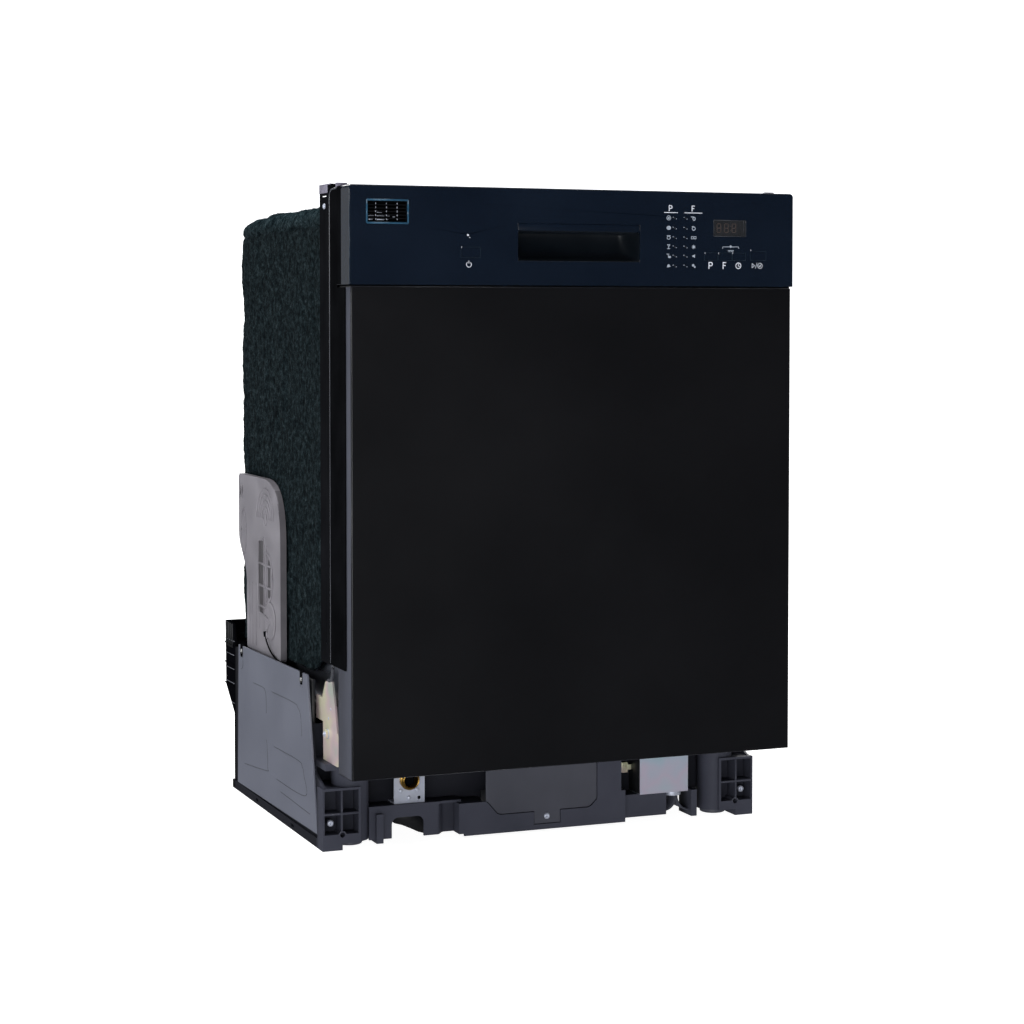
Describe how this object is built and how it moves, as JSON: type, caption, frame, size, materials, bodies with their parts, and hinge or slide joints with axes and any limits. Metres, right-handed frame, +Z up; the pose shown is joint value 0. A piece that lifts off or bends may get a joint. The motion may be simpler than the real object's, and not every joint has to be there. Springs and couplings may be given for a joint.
{
  "type": "built in dishwasher",
  "caption": "Built-in dishwasher with drop-down front door, two pull-out racks, spray arms, felt-wrapped tub, moulded base and levelling feet.",
  "frame": {"origin": "on the floor under the middle of the machine's box", "axes": "+X to the viewer's right, +Y from the door to the back, +Z up"},
  "size_m": [0.6, 0.592, 0.827],
  "materials": {
    "gloss_black": "gloss moulded plastic",
    "black_paint": "satin black painted sheet",
    "black_trim": "black trim strip",
    "charcoal_plastic": "matte charcoal moulding",
    "grey_sheet": "matte grey coated sheet",
    "felt": "dark green-grey needled felt",
    "pale_plastic": "pale lavender-grey polypropylene",
    "stainless": "brushed stainless steel",
    "zinc": "passivated zinc plate",
    "brass": "machined brass",
    "rubber": "black seal rubber",
    "grey_plastic": "grey plastic",
    "rack_wire": "grey nylon-coated wire",
    "clear_window": "dark clear window",
    "light_pipe": "clear light pipes",
    "circuit": "green circuit board",
    "spring_steel": "spring steel"
  },
  "bodies": {
    "cabinet": {"tub_wrapper": "stainless", "tub_back_panel": "stainless", "tub_floor": "stainless", "tub_front_frame": "black_paint", "door_gasket": "rubber", "side_trims": "black_trim", "door_strike": "zinc", "insulation_blanket": "felt", "air_breaker": "pale_plastic", "sump": "grey_plastic", "filter_plate": "stainless", "supply_pipe": "grey_plastic", "top_sprayer": "grey_plastic", "wash_pump": "charcoal_plastic", "drain_pump": "charcoal_plastic", "fixed_rails": "stainless", "base_tray": "charcoal_plastic", "access_cover": "charcoal_plastic", "side_cover_left": "grey_sheet", "side_cover_right": "grey_sheet", "inlet_bracket": "zinc", "inlet_elbow": "brass", "junction_box": "zinc", "conduit_clamp": "zinc", "fixing_screws": "zinc", "hinge_brackets": "zinc", "door_springs": "spring_steel"},
    "door": {"door_outer_panel": "black_paint", "control_panel": "gloss_black", "handle_pocket": "gloss_black", "vent_grille": "gloss_black", "display_window": "clear_window", "indicator_lights": "light_pipe", "control_board": "circuit", "door_inner_liner": "stainless", "dispenser_body": "grey_plastic", "hinge_arms": "zinc", "latch_housing": "charcoal_plastic"},
    "power_button": {"power_button": "gloss_black"},
    "program_button": {"program_button": "gloss_black"},
    "function_button": {"function_button": "gloss_black"},
    "delay_button": {"delay_button": "gloss_black"},
    "start_button": {"start_button": "gloss_black"},
    "dispenser_lid": {"dispenser_lid": "grey_plastic"},
    "rinse_aid_cap": {"rinse_aid_cap": "grey_plastic"},
    "latch_hook": {"latch_hook": "zinc"},
    "upper_rack": {"upper_rack": "rack_wire"},
    "upper_spray_arm": {"upper_spray_arm": "grey_plastic"},
    "upper_rails": {"upper_rails": "stainless"},
    "lower_wheels_front": {"lower_wheels_front": "grey_plastic"},
    "lower_wheels_middle": {"lower_wheels_middle": "grey_plastic"},
    "lower_wheels_rear": {"lower_wheels_rear": "grey_plastic"},
    "lower_spray_arm": {"lower_spray_arm": "grey_plastic"},
    "filter_cylinder": {"filter_cylinder": "grey_plastic"},
    "float_switch": {"float_switch": "grey_plastic"},
    "front_foot_left": {"front_foot_left": "charcoal_plastic"},
    "front_foot_right": {"front_foot_right": "charcoal_plastic"},
    "rear_foot": {"rear_foot": "charcoal_plastic"},
    "lower_rack": {"lower_rack": "rack_wire", "cutlery_basket": "grey_plastic"}
  },
  "joints": [
    {"name": "door_hinge", "type": "hinge", "parent": "cabinet", "child": "door", "pos_m": [0, -0.261, 0.13], "axis": [1, 0, 0], "range_deg": [0, 90], "stiffness_Nm_per_rad": 19},
    {"name": "upper_rack_slide", "type": "slide", "parent": "cabinet", "child": "upper_rack", "axis": [0, -1, 0], "range_m": [0, 0.42]},
    {"name": "upper_rail_slide", "type": "slide", "parent": "cabinet", "child": "upper_rails", "axis": [0, -1, 0], "range_m": [0, 0.21]},
    {"name": "lower_rack_slide", "type": "slide", "parent": "cabinet", "child": "lower_rack", "axis": [0, -1, 0], "range_m": [0, 0.16]},
    {"name": "upper_arm_spin", "type": "hinge", "parent": "upper_rack", "child": "upper_spray_arm", "pos_m": [0, 0.009, 0.49], "axis": [0, 0, 1], "continuous": true},
    {"name": "lower_arm_spin", "type": "hinge", "parent": "cabinet", "child": "lower_spray_arm", "pos_m": [0, 0.009, 0.18], "axis": [0, 0, 1], "continuous": true},
    {"name": "filter_twist", "type": "hinge", "parent": "cabinet", "child": "filter_cylinder", "pos_m": [-0.045, -0.048, 0.12], "axis": [0, 0, 1], "range_deg": [0, 60]},
    {"name": "float_lift", "type": "slide", "parent": "cabinet", "child": "float_switch", "axis": [0, 0, 1], "range_m": [0, 0.01]},
    {"name": "latch_pivot", "type": "hinge", "parent": "door", "child": "latch_hook", "pos_m": [0, -0.268, 0.808], "axis": [1, 0, 0], "range_deg": [-10, 0], "stiffness_Nm_per_rad": 0.5},
    {"name": "lid_slide", "type": "slide", "parent": "door", "child": "dispenser_lid", "axis": [1, 0, 0], "range_m": [0, 0.055]},
    {"name": "rinse_cap_turn", "type": "hinge", "parent": "door", "child": "rinse_aid_cap", "pos_m": [0.04, -0.246, 0.45], "axis": [0, 1, 0], "range_deg": [0, 90]},
    {"name": "front_wheel_roll", "type": "hinge", "parent": "lower_rack", "child": "lower_wheels_front", "pos_m": [0, -0.101, 0.1735], "axis": [1, 0, 0], "continuous": true},
    {"name": "middle_wheel_roll", "type": "hinge", "parent": "lower_rack", "child": "lower_wheels_middle", "pos_m": [0, 0.024, 0.1735], "axis": [1, 0, 0], "continuous": true},
    {"name": "rear_wheel_roll", "type": "hinge", "parent": "lower_rack", "child": "lower_wheels_rear", "pos_m": [0, 0.159, 0.1735], "axis": [1, 0, 0], "continuous": true},
    {"name": "power_press", "type": "slide", "parent": "door", "child": "power_button", "axis": [0, 1, 0], "range_m": [0, 0.0015], "stiffness_N_per_m": 900},
    {"name": "program_press", "type": "slide", "parent": "door", "child": "program_button", "axis": [0, 1, 0], "range_m": [0, 0.0015], "stiffness_N_per_m": 900},
    {"name": "function_press", "type": "slide", "parent": "door", "child": "function_button", "axis": [0, 1, 0], "range_m": [0, 0.0015], "stiffness_N_per_m": 900},
    {"name": "delay_press", "type": "slide", "parent": "door", "child": "delay_button", "axis": [0, 1, 0], "range_m": [0, 0.0015], "stiffness_N_per_m": 900},
    {"name": "start_press", "type": "slide", "parent": "door", "child": "start_button", "axis": [0, 1, 0], "range_m": [0, 0.0015], "stiffness_N_per_m": 900},
    {"name": "front_foot_left_screw", "type": "slide", "parent": "cabinet", "child": "front_foot_left", "axis": [0, 0, -1], "range_m": [0, 0.035]},
    {"name": "front_foot_right_screw", "type": "slide", "parent": "cabinet", "child": "front_foot_right", "axis": [0, 0, -1], "range_m": [0, 0.035]},
    {"name": "rear_foot_screw", "type": "slide", "parent": "cabinet", "child": "rear_foot", "axis": [0, 0, -1], "range_m": [0, 0.035]}
  ],
  "couplings": [
    {"joint": "upper_rack_slide", "follows": "door_hinge", "m_per_rad": 0.2673},
    {"joint": "upper_rail_slide", "follows": "door_hinge", "m_per_rad": 0.13365},
    {"joint": "lower_rack_slide", "follows": "door_hinge", "m_per_rad": 0.1018},
    {"joint": "front_wheel_roll", "follows": "door_hinge", "ratio": 5.9882},
    {"joint": "middle_wheel_roll", "follows": "door_hinge", "ratio": 5.9882},
    {"joint": "rear_wheel_roll", "follows": "door_hinge", "ratio": 5.9882}
  ]
}
